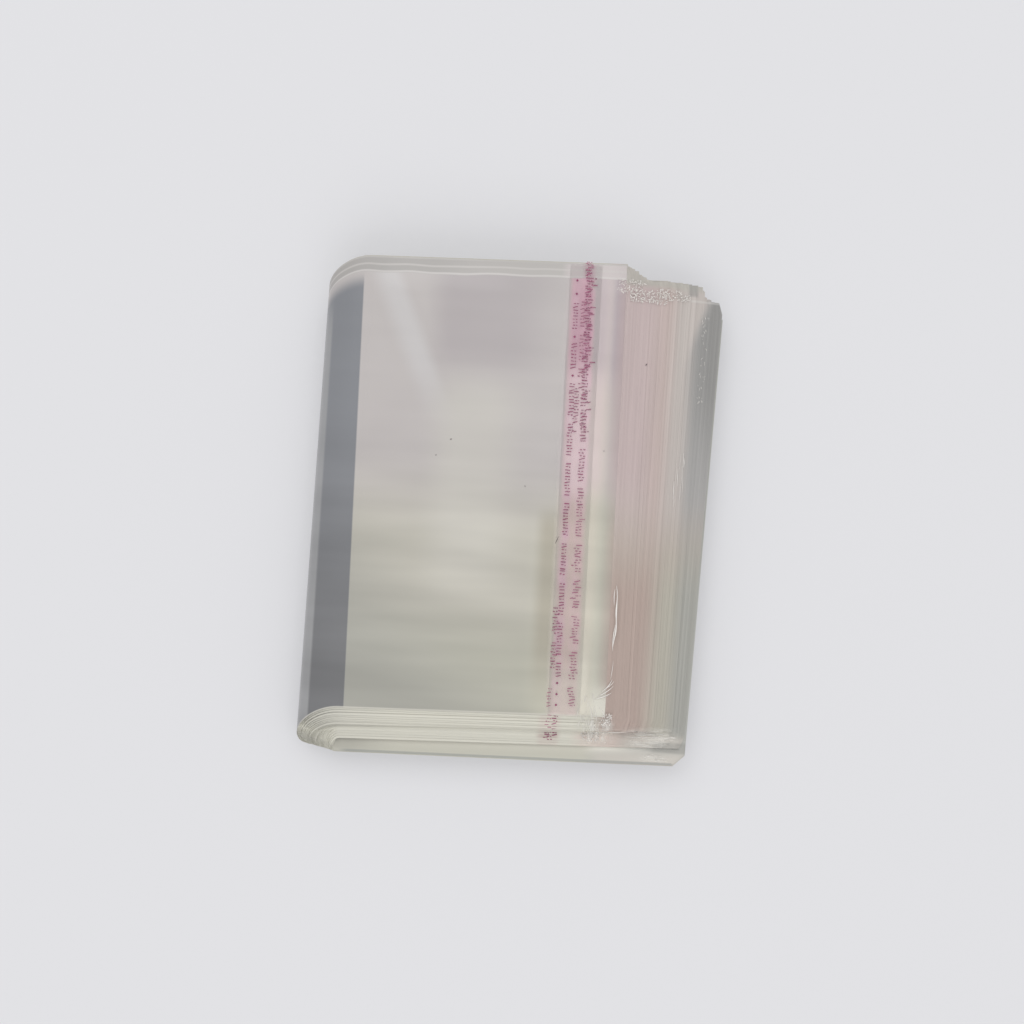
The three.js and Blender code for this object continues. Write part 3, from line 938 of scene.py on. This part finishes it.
def make_torn_edges():
    """White bits of torn or melted film along the far ends and at the flap's front corner; the ridges near
    the right end and the flap's curled lip are white as painted glints too.
    """
    # How many, their span in x and in y, length, radius, turn, its spread, and how far they bow aside
    crumbs = [
        (90, (23.5, 31), (59.0, 62.8), 0.6, 0.12, 0.1, 1.2, 0.2),
        (130, (27, 37), (57.2, 60.5), 0.6, 0.13, 0.1, 1.2, 0.2),
        (110, (34, 43), (58.4, 61.2), 0.55, 0.12, 0.1, 1.2, 0.2),
        (40, (46.8, 48.6), (32, 55), 0.6, 0.06, 1.6, 0.3, 0.1),
        (24, (21, 27), (-54.5, -46), 2.6, 0.06, 1.6, 0.12, 0.03),
        (44, (27.2, 30.3), (-53.8, -50.6), 0.6, 0.14, 0.9, 1.2, 0.2),
        (44, (23, 27.6), (-58.4, -56), 0.6, 0.14, 0.9, 1.2, 0.2),
        (10, (38, 48), (-57, -54.5), 2.4, 0.07, 0.1, 0.08, 0.05),
        (6, (40, 48), (-62.5, -61.3), 3.0, 0.07, 0.03, 0.05, 0.05),
    ]
    make_piece("weld_crumbs", [scatter(*row) for row in crumbs], TORN_WELD_AND_GLINT)
    # Ridges near the right end: wrinkles whose white is a painted glint
    ridges = scatter(9, (42.3, 45.3), (6, 17), 5.0, 0.08, 1.6, 0.04, 0.03)
    make_piece("film_ridges", [ridges], TORN_WELD_AND_GLINT)
    # The flap's curled lip: the white of scuffed film, and a painted glint where the curl catches the light
    t = np.linspace(0, 1, 40)
    swell = np.sin(t * math.pi)
    lip_y = -17 - 16 * t
    lip_x = 29.1 + 0.4 * np.sin(t * 3.1) + 0.3 * t + 0.12 * np.sin(t * 11)
    lip_radius = 0.03 + 0.15 * swell**0.7 * (1 + 0.35 * np.sin(t * 17 + 1))
    lip = tube(lip_x, lip_y, top_face(lip_x, lip_y) + 0.1 + 0.25 * swell, lip_radius)
    # Start, the point that pulls, end, and radius
    bends = [
        ((28.8, -17.8), (28.5, -19.6), (28.9, -22.2), 0.11),
        ((29.6, -27.2), (29.0, -30.0), (29.3, -34.0), 0.14),
        ((25.4, -46.9), (28.0, -46.3), (29.9, -44.9), 0.14),
        ((25.9, -46.3), (28.4, -45.2), (30.2, -43.2), 0.12),
        ((27.0, -45.0), (28.8, -43.9), (29.8, -41.4), 0.12),
        ((28.0, -44.2), (29.6, -43.0), (30.3, -41.9), 0.09),
        ((29.3, -41.6), (29.6, -39.4), (29.7, -36.6), 0.07),
        ((24.0, -48.0), (25.6, -50.8), (25.2, -53.6), 0.08),
        ((25.2, -48.4), (26.6, -50.6), (26.4, -54.2), 0.07),
        ((26.6, -48.8), (28.4, -50.0), (28.8, -52.8), 0.08),
        ((28.4, -56.2), (29.4, -55.3), (35.0, -55.2), 0.07),
    ]
    make_piece("curled_edge", [lip, *(bent_line(*row) for row in bends)], TORN_WELD_AND_GLINT)
    make_piece("crushed_corner", [cloudy_patch((22.2, 32.0), (-60.0, -51.0), 0.2)], CRUSHED_FILM)
    rubbed = [
        cloudy_patch((32.5, 49.5), (-60.5, -53.0), 0.1),
        cloudy_patch((36.0, 48.0), (-63.2, -61.0), 0.1),
    ]
    make_piece("rubbed_ends", rubbed, RUBBED_FILM)


def make_specks():
    """A few specks of dust on the top bag and the ends, and one dark tick beside the strip."""
    x = np.array([-16.7, 32.7, 3.4, 23.2, -20.3, 12.7])
    y = np.array([17.9, 41.1, 7.1, 17.7, 13.5, -6.3])
    length = np.array([0.5, 0.6, 0.4, 0.4, 0.4, 2.2])
    radius = np.array([0.14, 0.16, 0.12, 0.12, 0.1, 0.1])
    turn = np.array([0.3, 1.0, 2.0, 0.2, 1.4, 1.2])
    over_strip = np.where((x > 9) & (x < 27), strip_face(x, y) + 0.4, 0)
    height = np.maximum(stack_face(x, y) + film_lift(x, y), over_strip) + 0.05
    still = np.zeros(len(x))
    make_piece("dust_specks", [flecks(x, y, height, length, radius, turn, still, still)], DUST)


FLOOR_HALF = 3.0  # half the floor's width, in metres
FLOOR_GLOW = 0.42  # share of the floor's look that is lit evenly where it is seen
SURROUND_STRENGTH = 0.71
SOFT_BOX_SIZE = (1.6, 1.1)  # in metres


def make_floor():
    """A plain pale floor, partly lit evenly where it is seen, so that the shadow on it stays soft."""
    corners = [(x * FLOOR_HALF, y * FLOOR_HALF, 0) for x, y in ((-1, -1), (1, -1), (1, 1), (-1, 1))]
    mesh = bpy.data.meshes.new("floor")
    mesh.from_pydata(corners, [], [(0, 1, 2, 3)])
    material, tree = new_material("pale_floor")
    shader = add(tree, "ShaderNodeBsdfPrincipled", {"Base Color": srgb("#dedee1"), "Roughness": 0.9})
    glow = add(tree, "ShaderNodeEmission", {"Color": srgb("#e1e1e4")})
    rays = add(tree, "ShaderNodeLightPath").outputs
    seen = rays["Is Camera Ray"]
    for other in ("Is Glossy Ray", "Is Transmission Ray"):
        seen = calc(tree, "MAXIMUM", seen, rays[other])
    share = calc(tree, "MULTIPLY", seen, FLOOR_GLOW)
    mixed = add(tree, "ShaderNodeMixShader", {0: share, 1: shader.outputs[0], 2: glow.outputs[0]})
    show(tree, mixed.outputs[0])
    mesh.materials.append(material)
    floor = bpy.data.objects.new("floor", mesh)
    bpy.context.collection.objects.link(floor)


def make_light():
    """An even pale surround, and two broad soft lamps, behind and in front."""
    world = bpy.data.worlds.new("surround")
    world.use_nodes = True
    background = world.node_tree.nodes["Background"]
    background.inputs["Color"].default_value = (1.0, 1.0, 1.0, 1.0)
    background.inputs["Strength"].default_value = SURROUND_STRENGTH
    bpy.context.scene.world = world
    # Name, power in watts, place in metres, tilt about x and y in degrees
    for name, power, place, tilt in (
        ("back_soft_box", 6.8, (-0.2, 0.8, 1.3), (-31, -8)),
        ("front_soft_box", 5.2, (0.1, -0.95, 1.2), (38, 5)),
    ):
        lamp = bpy.data.lights.new(name, "AREA")
        lamp.shape = "RECTANGLE"
        lamp.size, lamp.size_y = SOFT_BOX_SIZE
        lamp.energy = power
        box = bpy.data.objects.new(name, lamp)
        box.location = place
        box.rotation_euler = (math.radians(tilt[0]), math.radians(tilt[1]), 0)
        bpy.context.collection.objects.link(box)


# The photograph
PIXELS = 1024
PIXELS_PER_MM = 3.79  # at half the bundle's height
OBJECT_CENTRE_PIXEL = (510, 512.4)
CAMERA_ROLL = 4.2  # in degrees
LENS = 85.0
SENSOR = 36.0


def make_camera():
    """Straight above the bundle, rolled as the photograph is, at the distance that gives its scale."""
    distance = LENS / SENSOR * PIXELS / PIXELS_PER_MM + MID_HEIGHT
    roll = math.radians(CAMERA_ROLL)
    right = np.array([math.cos(roll), math.sin(roll)])
    up = np.array([-math.sin(roll), math.cos(roll)])
    aside = (PIXELS / 2 - OBJECT_CENTRE_PIXEL[0]) / PIXELS_PER_MM
    above = (OBJECT_CENTRE_PIXEL[1] - PIXELS / 2) / PIXELS_PER_MM
    place = (aside * right + above * up) * MM
    data = bpy.data.cameras.new("camera")
    data.lens, data.sensor_width = LENS, SENSOR
    data.clip_start, data.clip_end = 0.01, 20
    camera = bpy.data.objects.new("camera", data)
    camera.location = (*place, distance * MM)
    camera.rotation_euler = (0, 0, roll)
    bpy.context.collection.objects.link(camera)
    bpy.context.scene.camera = camera


make_stack()
make_liner()
make_print()
make_torn_edges()
make_clear_film()
make_specks()
make_floor()
make_light()
make_camera()
bpy.context.scene.view_settings.view_transform = "Standard"
